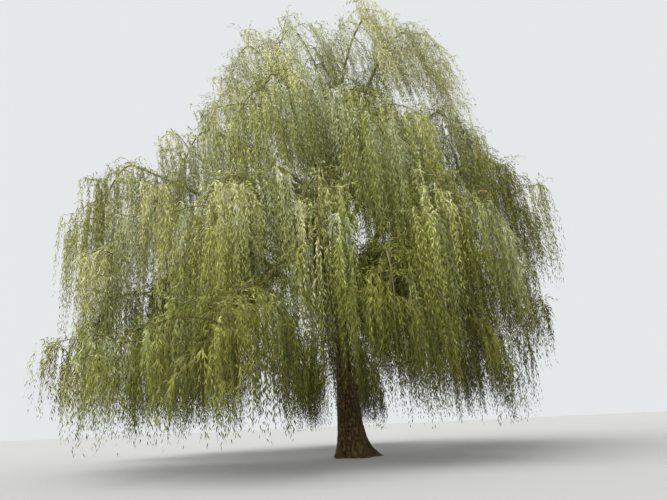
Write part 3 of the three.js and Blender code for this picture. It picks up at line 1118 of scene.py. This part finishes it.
@dataclass(frozen=True)
class Shoots(Rows):
    """Leafy shoots, each a curve, with the colour of its leaves. They waver a little.

    Attributes:
        handles: of shape (shoots, 4, 3).
        hues: Hue numbers, of shape (shoots,).
        tones: from 0, palest, to 1, deepest, of shape (shoots,).
    """

    handles: Array
    hues: Array
    tones: Array

    sway = 0.035  # size of the waves, in metres
    waves = (1.2, 1.4)  # the fewest along a shoot, and how many more at most
    seed = 5
    length_points = 9

    def lengths(self) -> Array:
        """The shoots' lengths, of shape (shoots,)."""
        points = bezier(self.handles[:, None], np.linspace(0, 1, self.length_points))
        return np.linalg.norm(np.diff(points, axis=1), axis=2).sum(axis=1)

    def points(self, owner: Array, share: Array) -> Array:
        """Gives points on the shoots, which waver: two slow level waves along each, which grow
        from its root.

        Args:
            owner: the shoot of each point.
            share: how far along its shoot each point is.

        Returns:
            Points, of shape (points, 3).
        """
        count = len(self.tones)
        random = np.random.default_rng([SEED, self.seed, count])
        phase = 2 * np.pi * random.random((2, count))
        waves = self.waves[0] + self.waves[1] * random.random((2, count))
        turn = waves[:, owner] * 2 * np.pi * share + phase[:, owner]
        wave = np.sin(turn) * self.sway * share
        return bezier(self.handles[owner], share) + np.stack([*wave, np.zeros_like(share)], axis=-1)


@dataclass(frozen=True)
class Growth(Rows):
    """Twigs, or the places where twigs or sprays take root.

    Attributes:
        places: handles of twigs, of shape (n, 3, 3), or points of roots, of shape (n, 3).
        azimuths: the level directions in which they leave, in degrees.
        lobes: for each the number of the lobe that it belongs to.
    """

    places: Array
    azimuths: Array
    lobes: Array


class Mass:
    """One mass of foliage: side twigs, finer twigs and sprays of hanging shoots on a stem.

    Each side twig carries a lobe: its sprays hang to about one level and gather towards the
    middle of the lobe, so that the curtain ends in points.
    """

    def __init__(self, skeleton: Skeleton, index: int, limb: Limb, rule: FoliageRule) -> None:
        """Grows the mass.

        Args:
            skeleton: the limbs.
            index: the limb's row number.
            limb: the limb that carries the mass.
            rule: how it grows.
        """
        self.skeleton, self.index, self.limb, self.rule = skeleton, index, limb, rule
        self.look = TIER_LOOKS[limb.row.tier]
        self.random = np.random.default_rng([SEED, index])
        self.stem = limb.stem()
        self.twigs = self.side_twigs()
        self.fine = self.fine_twigs()
        self.all_twigs = Growth.joined([self.twigs, self.fine])
        self.shoots = self.hanging_shoots()

    def draw(self, pair: Pair, count: int) -> Array:
        """Draws so many random numbers between the two of a pair."""
        return mix(pair, self.random.random(count))

    def around(self, width: float, count: int) -> Array:
        """Draws so many random numbers within half a width of 0."""
        return width * (self.random.random(count) - 0.5)

    def in_reach(self, points: Array, room: Pair) -> Array:
        """Tells which points are near enough to the stem, off the trunk and above the hem.

        Args:
            points: of shape (..., 3).
            room: how far from the stem, as a share of the spread and in metres.

        Returns:
            Truth values, of shape (...).
        """
        rule, stem = self.rule, self.stem[:: self.rule.stem_step, :2]
        gap = np.linalg.norm(points[..., None, :2] - stem, axis=-1).min(axis=-1)
        near = gap < room[0] * self.limb.row.spread + room[1]
        level = np.linalg.norm(points[..., :2], axis=-1)
        by_trunk = (level < rule.trunk_room) & (points[..., 2] < self.skeleton.trunk.height)
        return near & ~by_trunk & (points[..., 2] > rule.lowest - rule.under_lowest)

    def fitted(self, build: Build, room: Pair, in_space: tuple[float, ...]) -> tuple[Array, Array]:
        """Takes the longest of the tried lengths at which a curve keeps to the mass: within
        reach, and at some places also in the mass's space or a little over its edge.

        Args:
            build: makes handles of shape (curves, n, 3) for a share of the full length.
            room: how far from the stem a curve may go.
            in_space: places along a curve that lie in the space.

        Returns:
            The handles, and which of the curves fit at any length.
        """
        chosen, done = None, None
        for share in self.rule.lengths:
            handles = build(share)
            points = bezier(handles[:, None], np.array(self.rule.reach_places))
            inside = self.in_reach(points, room).all(axis=1)
            tested = bezier(handles[:, None], np.array(in_space))
            depth = self.skeleton.depth_inside(self.index, tested).min(axis=1)
            inside &= depth > -self.rule.overlap
            if chosen is None:
                chosen, done = handles, inside
            else:
                chosen = np.where((inside & ~done)[:, None, None], handles, chosen)
                done = done | inside
        return chosen, done

    def grown(self, roots: Growth, length: Array, droop: Array) -> Growth:
        """Grows twigs that rise a little from their roots and sag at their ends.

        Args:
            roots: where they grow.
            length: their full lengths.
            droop: how far their ends fall beyond the usual, as a share of the length.

        Returns:
            The twigs that fit, with the lobes of their roots.
        """
        rule, start, count = self.rule, roots.places, len(roots.places)
        away = outward(roots.azimuths)
        lift = self.draw(rule.twig_lift, count)[:, None]
        sag = (self.draw(rule.twig_sag, count) + droop)[:, None]
        run = (rule.twig_run - rule.run_less * droop)[:, None]

        def build(share: float) -> Array:
            """Handles at a share of the full length, of shape (twigs, 3, 3)."""
            size = (length * share)[:, None]
            middle = start + away * rule.twig_middle * run * size + UP * lift * size
            end = start + away * run * size - UP * sag * size
            return np.stack([start, middle, end], axis=1)

        handles, fits = self.fitted(build, rule.twig_room, rule.twig_inside)
        return Growth(handles, roots.azimuths, roots.lobes).picked(fits)

    def side_twigs(self) -> Growth:
        """Grows the side twigs, left and right of the stem by turns, and a few on the bough,
        which fill the inside of the crown. Some droop, so that their lobes hang lower.

        Returns:
            The twigs, with a lobe each.
        """
        rule, row = self.rule, self.limb.row
        count = round(rule.twigs[0] + rule.twigs[1] * row.spread**2)
        share = (np.arange(count) + 0.5) / count
        on_stem = on_line(self.stem, mix(rule.twig_places, share))
        turn = mix(rule.twig_turn, share) + self.around(rule.twig_turn_spread, count)
        inner = np.linspace(*rule.inner_places, rule.inner_twigs) * self.limb.end
        points = np.concatenate([on_stem, bezier(self.limb.course, inner)])
        turn = np.concatenate([turn, self.draw(rule.inner_turn, rule.inner_twigs)])
        count += rule.inner_twigs
        number = np.arange(count)
        roots = Growth(points, row.azimuth + np.where(number % 2, turn, -turn), number)
        length = row.spread * self.draw(rule.twig_length, count)
        droops = self.random.random(count) < rule.drooping
        twigs = self.grown(roots, length, np.where(droops, self.draw(rule.twig_droop, count), 0))
        return Growth(twigs.places, twigs.azimuths, np.arange(len(twigs.places)))

    def fine_twigs(self) -> Growth:
        """Grows finer twigs on the side twigs, by the same rule.

        Returns:
            The twigs, with the lobes of their side twigs.
        """
        rule, twigs = self.rule, self.twigs
        places = np.tile(rule.fine_places, len(twigs.places))
        chosen = twigs.picked(np.repeat(twigs.lobes, len(rule.fine_places)))
        count = len(places)
        turn = self.draw(rule.fine_turn, count)
        turned = chosen.azimuths + np.where(np.arange(count) % 2, turn, -turn)
        roots = Growth(bezier(chosen.places, places), turned, chosen.lobes)
        taper = rule.fine_taper[0] - rule.fine_taper[1] * places
        length = self.limb.row.spread * self.draw(rule.fine_length, count) * taper
        return self.grown(roots, length, np.zeros(count))

    def spray_roots(self) -> Growth:
        """Finds where sprays grow: along the bough, the stem and all twigs.

        Returns:
            The roots. Those on bough and stem take lobes of their own, after the side twigs'.
        """
        rule, row, own = self.rule, self.limb.row, len(self.twigs.places)
        on_bough = np.linspace(*rule.bough_places, rule.bough_sprays) * self.limb.end
        on_stem = on_line(self.stem, np.linspace(*rule.stem_places, rule.stem_sprays))
        points = np.concatenate([bezier(self.limb.course, on_bough), on_stem])
        count = len(points)
        parts = [Growth(points, row.azimuth + self.around(360, count), own + np.arange(count))]
        sets = ((self.twigs, rule.twig_spray_places), (self.fine, rule.fine_spray_places))
        for twigs, places in sets:
            number = len(twigs.places)
            chosen = twigs.picked(np.repeat(np.arange(number), len(places)))
            points = bezier(chosen.places, np.tile(places, number))
            azimuths = chosen.azimuths + self.around(rule.fan, len(points))
            parts.append(Growth(points, azimuths, chosen.lobes))
        return Growth.joined(parts)

    def spray_lengths(self, roots: Growth) -> Array:
        """Draws the full lengths of the sprays. A spray ends near its lobe's hem: its length is
        the height above it, less the square of a random share.

        Args:
            roots: of the sprays.

        Returns:
            Lengths, of shape (sprays,).
        """
        rule, row, height = self.rule, self.limb.row, roots.places[:, 2]
        rises = self.random.random(int(roots.lobes.max()) + 1) ** rule.lobe_power
        hems = row.height - rule.hem * row.drop + rule.lobe_rise * row.drop * rises
        low = np.maximum(hems, rule.lowest)[roots.lobes]
        room = np.clip(height - low, rule.least_room, self.look.longest * row.drop)
        return room * (1 - rule.shortening * self.random.random(len(height)) ** 2)

    def main_shoots(self) -> tuple[Array, Array]:
        """Grows the main shoot of each spray. It leaves its twig outwards, arches and hangs, is
        blown to the right, more so high up, and gathers towards the middle of its lobe.

        Returns:
            Handles of shape (sprays, 4, 3) and the number of the lobe of each.
        """
        rule, roots = self.rule, self.spray_roots()
        start, count = roots.places, len(roots.places)
        length = self.spray_lengths(roots)
        away = outward(roots.azimuths)
        push = self.draw(rule.spray_push, count)[:, None]
        lift = self.draw(rule.spray_lift, count)
        lift[: rule.bough_sprays] = self.draw(rule.bough_lift, rule.bough_sprays)
        length[: rule.bough_sprays] *= rule.bough_share
        drift = mix(rule.wind, smoothstep(start[:, 2], rule.wind_foot, rule.wind_top))
        gust = rule.wind_spread[0] + rule.wind_spread[1] * self.random.random(count)
        drift = (drift * gust)[:, None]
        middles = start.copy()
        twig_middles = bezier(self.twigs.places, rule.gather_place)
        on_twigs = roots.lobes < len(twig_middles)
        middles[on_twigs] = twig_middles[roots.lobes[on_twigs]]
        gather = self.draw(rule.gather, count)[:, None] * LEVEL
        inwards = gather * (middles - start - away * push)

        def build(share: float) -> Array:
            """Handles at a share of the full length, of shape (sprays, 4, 3)."""
            size = (length * share)[:, None]
            run = rule.wind_reach * (1 - np.exp(-size / rule.wind_reach)) * drift
            shoulder = start + away * push * rule.shoulder_push + UP * lift[:, None]
            tip = start + away * push + RIGHT * run - UP * size + inwards
            bend = tip + UP * rule.bend_rise * size - RIGHT * rule.bend_back * run
            return np.stack([start, shoulder, bend, tip], axis=1)

        main, fits = self.fitted(build, rule.spray_room, rule.spray_inside)
        return main[fits], roots.lobes[fits]

    def hanging_shoots(self) -> Shoots:
        """Grows the sprays, each a main shoot with side shoots that leave it and hang beside
        it, and short sprigs on the twigs, which bear leaves themselves.

        Returns:
            The shoots.
        """
        main, lobe = self.main_shoots()
        width = self.look.width * self.draw(self.rule.spray_width, len(main))
        hanging = [main] + [self.side_shoots(main, width) for _ in range(self.rule.side_shoots)]
        colours = self.deal_colours(main, lobe)
        sprigs, owners = self.sprigs()
        more = np.concatenate([sprigs, cubic(self.all_twigs.places)])
        owners = np.concatenate([owners, self.all_twigs.lobes])
        others = Shoots(more, *self.deal_colours(more, owners))
        return Shoots.joined([*(Shoots(handles, *colours) for handles in hanging), others])

    def side_shoots(self, main: Array, width: Array) -> Array:
        """Grows one side shoot on each main shoot, which hangs beside it and ends sooner.

        Args:
            main: handles of the main shoots.
            width: of each spray.

        Returns:
            Handles of the side shoots.
        """
        rule, count = self.rule, len(main)
        root = bezier(main, self.draw(rule.side_starts, count))
        size = 0.5 * width * self.draw(rule.side_sizes, count)
        offset = outward(360 * self.random.random(count)) * size[:, None]
        tip = root + offset + (main[:, 3] - root) * self.draw(rule.side_lengths, count)[:, None]
        fall = tip - root - offset
        shoulder = root + rule.side_shoulder[0] * offset + rule.side_shoulder[1] * fall
        return np.stack([root, shoulder, root + offset + 0.5 * fall, tip], axis=1)

    def sprigs(self) -> tuple[Array, Array]:
        """Grows short shoots that rise from the twigs, the stem and the outer bough, and nod.

        Returns:
            Handles of the sprigs and the numbers of their lobes.
        """
        rule, end, count = self.rule, self.limb.end, self.rule.stem_sprigs
        pick = self.random.integers(0, len(self.all_twigs.places), rule.sprigs)
        chosen = self.all_twigs.picked(pick)
        on_stem = on_line(self.stem, rule.sprig_stem * self.random.random(count // 2))
        on_bough = self.draw((rule.sprig_bough * end, end), count - len(on_stem))
        places = rule.sprig_places[0] + rule.sprig_places[1] * self.random.random(rule.sprigs)
        on_twigs = bezier(chosen.places, places)
        root = np.concatenate([on_twigs, on_stem, bezier(self.limb.course, on_bough)])
        turn = chosen.azimuths + self.around(rule.sprig_turn, rule.sprigs)
        away = outward(np.concatenate([turn, 360 * self.random.random(count)]))
        size = self.draw(rule.sprig_length, len(root))[:, None]
        rise = self.draw(rule.sprig_rise, len(root))[:, None]
        curve = [root]
        for out, up, nod in rule.sprig_shape:
            curve.append(root + size * (out * away + (up * rise - nod) * UP))
        others = self.random.integers(0, len(self.twigs.places), count)
        return np.stack(curve, axis=1), np.concatenate([chosen.lobes, others])

    def deal_colours(self, handles: Array, lobe: Array) -> tuple[Array, Array]:
        """Deals each spray a hue and a tone. Most of a lobe shares one hue, and a few sprays have
        withered. The tone deepens with the tier, towards the hem, towards the inside of the crown and to
        the right, all as painted shade, and differs at random by lobe and by spray.

        Args:
            handles: of the sprays' shoots.
            lobe: for each spray, the number of its lobe.

        Returns:
            Hue numbers and tones.
        """
        rule, row, count = self.rule, self.limb.row, len(lobe)
        lobes = int(lobe.max()) + 1
        of_lobe = self.random.random(lobes)[lobe]
        own = self.random.random(count)
        chance = np.where(self.random.random(count) < rule.same_hue, of_lobe, own)
        hues = np.where(chance < self.look.gold, Hue.GOLD.value, Hue.GREY.value)
        hues = np.where(self.random.random(count) < rule.withered, Hue.RUST.value, hues)
        # Painted shade: deeper towards the hem, towards the inside of the crown and to the right, away
        # from the light.
        fallen = np.clip((row.height - handles[:, 0, 2]) / row.drop, 0, 1)
        out = handles[:, 3, :2] @ self.limb.heading[:2]
        edge = row.reach + rule.outer * row.spread
        inside = np.clip((edge - out) / (2 * row.spread), 0, 1)
        tones = self.look.tone + rule.tone_fall * fallen + rule.tone_inside * inside
        tones += rule.tone_per_metre * handles[:, 0, 0]
        tones += self.around(rule.tone_of_lobe, lobes)[lobe]
        tones += self.around(rule.tone_of_spray, count)
        return hues, tones


@dataclass(frozen=True)
class Leaves:
    """The leaves of the shoots: narrow, folded along the midrib, and hanging.

    Attributes:
        fold: how far a leaf's sides are bent up, against half its width.
        turn: from one leaf to the next, round the shoot, in degrees.
        turn_spread: how far that may be off, in radians.
        splay: least and greatest angle to the shoot, in degrees.
        bare: share of a shoot without leaves, at its root.
        facing: how strongly leaves turn to the light, against turns at random.
        sky: how much of the light comes from above.
        own_tone: where along a shoot the leaves have its own tone.
    """

    spacing: float = 0.098
    fewest: int = 3
    length: Pair = (0.14, 0.22)
    shrink: float = 0.35
    width_share: float = 0.214
    belly: float = 0.4
    fold: float = 0.3
    tip_sag: float = 0.06
    turn: float = 137.5
    turn_spread: float = 2.0
    splay: Pair = (14, 54)
    droop: float = 0.36
    bare: float = 0.03
    facing: float = 1.5
    sky: float = 0.4
    # Painted light and shade: leaves paler near a shoot's top and deeper down it.
    deepening: float = 0.36
    own_tone: float = 0.35
    variety: float = 0.16
    seed: int = 77

    def arrays(self, shoots: Shoots, finish: LeafFinish) -> tuple[Array, Array, Array]:
        """Sets the leaves of some shoots.

        Leaves follow each other round the shoot by the golden angle, stand off it by the splay, and
        droop. A leaf has its base, its tip and two points where it is widest, bent up along the midrib.
        Its face turns more often outwards, to the light, than sideways, and its tone is paler near the
        top of the shoot and deeper down it, as painted light and shade. It is shorter by the cube of its
        place there.

        Args:
            shoots: the shoots.
            finish: the leaves' colours.

        Returns:
            Vertices of shape (leaves * 4, 3), triangles of shape (leaves * 2, 3), and the
            number of each triangle's material.
        """
        random = np.random.default_rng([SEED, self.seed, len(shoots.tones)])
        per_shoot = np.maximum(self.fewest, shoots.lengths() / self.spacing).astype(int)
        owner = np.repeat(np.arange(len(per_shoot)), per_shoot)
        number = np.arange(len(owner)) - np.repeat(np.cumsum(per_shoot) - per_shoot, per_shoot)
        share = (number + random.random(len(owner))) / per_shoot[owner]
        share = self.bare + (1 - self.bare) * share
        base = shoots.points(owner, share)
        along = bezier_tangent(shoots.handles[owner], share)
        count = len(base)
        level = unit(np.cross(along, ASIDE))
        across = np.cross(along, level)
        spin = number * np.radians(self.turn) + self.turn_spread * random.random(count)
        out = level * np.cos(spin)[:, None] + across * np.sin(spin)[:, None]
        splay = np.radians(mix(self.splay, random.random(count)))[:, None]
        ahead = unit(along * np.cos(splay) + out * np.sin(splay) - UP * self.droop)
        light = unit(base * LEVEL) + self.sky * UP
        blade = unit(np.cross(ahead, self.facing * light + random.normal(size=(count, 3))))
        normal = np.cross(blade, ahead)
        length = mix(self.length, random.random(count)) * (1 - self.shrink * share**3)
        length = length[:, None]
        half = 0.5 * self.width_share * length
        middle = base + ahead * self.belly * length + normal * self.fold * half
        tip = base + ahead * length - UP * self.tip_sag * length
        points = np.stack([base, middle - blade * half, tip, middle + blade * half], axis=1)
        first = np.arange(count)[:, None] * 4
        faces = np.stack([first + [0, 1, 2], first + [0, 2, 3]], axis=1).reshape(-1, 3)
        # Painted light and shade: paler near the shoot's top, deeper down it.
        tones = shoots.tones[owner] + self.deepening * (share - self.own_tone)
        tones += self.variety * (random.random(count) - 0.5)
        return points.reshape(-1, 3), faces, np.repeat(finish.numbers(shoots.hues[owner], tones), 2)


@dataclass(frozen=True)
class Twigs:
    """The wood of the masses: three-sided twigs, and thinner three-sided shoots.

    Radii are given at root and tip. Each tube has one edge square to the same direction.
    """

    side_radii: Pair = (0.022, 0.007)
    fine_radii: Pair = (0.009, 0.004)
    shoot_radii: Pair = (0.0045, 0.0015)
    side_rings: int = 7
    fine_rings: int = 4
    shoot_places: tuple[float, ...] = (0, 0.3, 1)
    square_to: Triple = (0.3, 1, 0.2)

    def tubes(self, path: Array, radii: Pair, start: int) -> tuple[Array, Array]:
        """Makes a batch of three-sided tubes, each drawn out to a point at its end.

        Args:
            path: of shape (tubes, rings, 3).
            radii: at the root and the tip.
            start: the number of their first vertex.

        Returns:
            Vertices of shape (n, 3) and triangles of shape (m, 3).
        """
        tubes, rings = path.shape[:2]
        size = np.broadcast_to(np.linspace(*radii, rings), (tubes, rings))
        side = unit(np.cross(path[:, -1] - path[:, 0], self.square_to))
        points = tube_points(path, size, side, 3)[:, :-1].reshape(tubes, -1, 3)
        points = np.concatenate([points, path[:, -1:]], axis=1)
        end = points.shape[1] - 1
        quads = tube_faces(rings - 1, 3)
        rim = end - 3 + np.arange(3)
        tip = np.stack([rim, np.roll(rim, -1), np.full(3, end)], axis=1)
        faces = np.concatenate([quads[:, [0, 1, 2]], quads[:, [0, 2, 3]], tip])
        faces = start + (end + 1) * np.arange(tubes)[:, None, None] + faces
        return points.reshape(-1, 3), faces.reshape(-1, 3)

    def arrays(self, masses: list[Mass], shoots: Shoots) -> tuple[Array, Array, Array]:
        """Makes the wood of some masses.

        Args:
            masses: the masses.
            shoots: their shoots, joined in the same order.

        Returns:
            Vertices, triangles, and the number of each triangle's material: 0 on twigs and 1
            on shoots.
        """
        side = np.concatenate([mass.twigs.places for mass in masses])
        fine = np.concatenate([mass.fine.places for mass in masses])
        count, rings = len(shoots.tones), len(self.shoot_places)
        thin = shoots.points(np.repeat(np.arange(count), rings), np.tile(self.shoot_places, count))
        points, faces, skins, start = [], [], [], 0
        for path, radii, skin in (
            (bezier(side[:, None], np.linspace(0, 1, self.side_rings)), self.side_radii, 0),
            (bezier(fine[:, None], np.linspace(0, 1, self.fine_rings)), self.fine_radii, 0),
            (thin.reshape(count, rings, 3), self.shoot_radii, 1),
        ):
            made = self.tubes(path, radii, start)
            points.append(made[0])
            faces.append(made[1])
            skins.append(np.full(len(made[1]), skin))
            start += len(made[0])
        return np.concatenate(points), np.concatenate(faces), np.concatenate(skins)


class Foliage:
    """All masses, joined into pieces by tier."""

    masses_per_piece: int = 3

    def __init__(self, skeleton: Skeleton, rule: FoliageRule) -> None:
        """Grows a mass on each limb of the skeleton by one rule."""
        limbs = enumerate(skeleton.limbs.values())
        self.masses = [Mass(skeleton, index, limb, rule) for index, limb in limbs]

    def batches(self) -> list[tuple[Tier, int, list[Mass]]]:
        """Splits the masses into batches of one tier each.

        Returns:
            Tier, number and masses of each batch.
        """
        made = []
        for tier in Tier:
            members = [mass for mass in self.masses if mass.limb.row.tier is tier]
            for number, start in enumerate(range(0, len(members), self.masses_per_piece)):
                made.append((tier, number + 1, members[start : start + self.masses_per_piece]))
        return made

    def build(self, leaves: Leaves, twigs: Twigs, finish: LeafFinish, skin: TwigFinish) -> None:
        """Builds the leaf and twig pieces, and lets them stand for the solid masses.

        Args:
            leaves: how leaves are set.
            twigs: how the wood is made.
            finish: the leaves' colours.
            skin: the twigs' colours.
        """
        leaf_materials, twig_materials = finish.materials(), skin.materials()
        total = 0
        for tier, number, masses in self.batches():
            shoots = Shoots.joined([mass.shoots for mass in masses])
            points, faces, shades = leaves.arrays(shoots, finish)
            piece = mesh_object(f"leaves_{tier.value}_{number}", points, faces, leaf_materials, shades)
            keep(piece, [f"foliage_{mass.limb.row.name}" for mass in masses])
            points, wood, skins = twigs.arrays(masses, shoots)
            piece = mesh_object(f"twigs_{tier.value}_{number}", points, wood, twig_materials, skins)
            keep(piece, [])
            if max(len(faces), len(wood)) > MOST_TRIANGLES:
                raise ValueError(f"{piece.name} or its leaves have too many triangles")
            total += len(faces) + len(wood)
        LOG.info("leaves and twigs: %d triangles", total)


# The studio
@dataclass(frozen=True)
class Studio:
    """A pale floor, soft light from a pale surround, and the photograph's camera."""

    floor_size: float = 400.0
    floor_gap: float = 0.004
    floor_colour: Triple = (0.4, 0.395, 0.38)
    floor_roughness: float = 0.9
    surround: Triple = (0.96, 0.98, 1.0)
    strength: float = 0.82
    sun_strength: float = 3.8
    sun_angle: float = 70.0
    sun_turn: Triple = (26, -32, 0)
    eye: Triple = (0.0, -21.0, 1.258)
    lens: float = 27.5
    sensor: float = 36
    farthest: float = 1000
    pitch: float = 18.743
    yaw: float = -0.943
    roll: float = 2.615

    def build(self) -> None:
        """Makes the floor, the surround, the light and the camera."""
        scene = bpy.context.scene
        scene.view_settings.view_transform = "Standard"
        self.make_floor()
        world = bpy.data.worlds.new("surround")
        world.use_nodes = True
        background = world.node_tree.nodes["Background"]
        background.inputs["Color"].default_value = (*self.surround, 1)
        background.inputs["Strength"].default_value = self.strength
        scene.world = world

        light = bpy.data.lights.new("sky_light", "SUN")
        light.energy = self.sun_strength
        light.angle = math.radians(self.sun_angle)
        lamp = bpy.data.objects.new("sky_light", light)
        lamp.rotation_euler = [math.radians(angle) for angle in self.sun_turn]
        scene.collection.objects.link(lamp)
        self.make_camera()

    def make_floor(self) -> None:
        """Lays the pale floor just under the trunk's cut."""
        corners = self.floor_size / 2 * np.array([[-1, -1, 0], [1, -1, 0], [1, 1, 0], [-1, 1, 0]])
        corners -= self.floor_gap * UP
        material = plain("floor", self.floor_colour, self.floor_roughness)
        mesh_object("floor", corners, np.array([[0, 1, 2, 3]]), [material])

    def make_camera(self) -> None:
        """Sets the camera at the photographer's eye, from its pitch, yaw and roll."""
        pitch, yaw, roll = (math.radians(angle) for angle in (self.pitch, self.yaw, self.roll))
        ahead = np.array([math.sin(yaw), math.cos(yaw), 0])
        forward = math.cos(pitch) * ahead + math.sin(pitch) * UP
        level = np.array([math.cos(yaw), -math.sin(yaw), 0])
        above = np.cross(level, forward)
        right = math.cos(roll) * level - math.sin(roll) * above
        top = math.cos(roll) * above + math.sin(roll) * level
        data = bpy.data.cameras.new("camera")
        data.lens = self.lens
        data.sensor_width = self.sensor
        data.clip_end = self.farthest
        camera = bpy.data.objects.new("camera", data)
        turned = np.eye(4)
        turned[:3, :3] = np.stack([right, top, -forward], axis=1)
        turned[:3, 3] = self.eye
        camera.matrix_world = Matrix(turned.tolist())
        bpy.context.scene.collection.objects.link(camera)
        bpy.context.scene.camera = camera


def main() -> None:
    """Builds the willow on its frame."""
    logging.basicConfig(level=logging.INFO, format="%(message)s")
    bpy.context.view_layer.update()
    Studio().build()
    bark = BarkFinish().material()
    trunk = Trunk()
    keep(trunk.build(bark), ["trunk"])
    skeleton = Skeleton(trunk, CROWN, LimbRule())
    keep(Boughs().build(skeleton, bark), [f"bough_{row.name}" for row in CROWN])
    Foliage(skeleton, FoliageRule()).build(Leaves(), Twigs(), LeafFinish(), TwigFinish())
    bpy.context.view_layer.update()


if __name__ == "__main__":
    main()
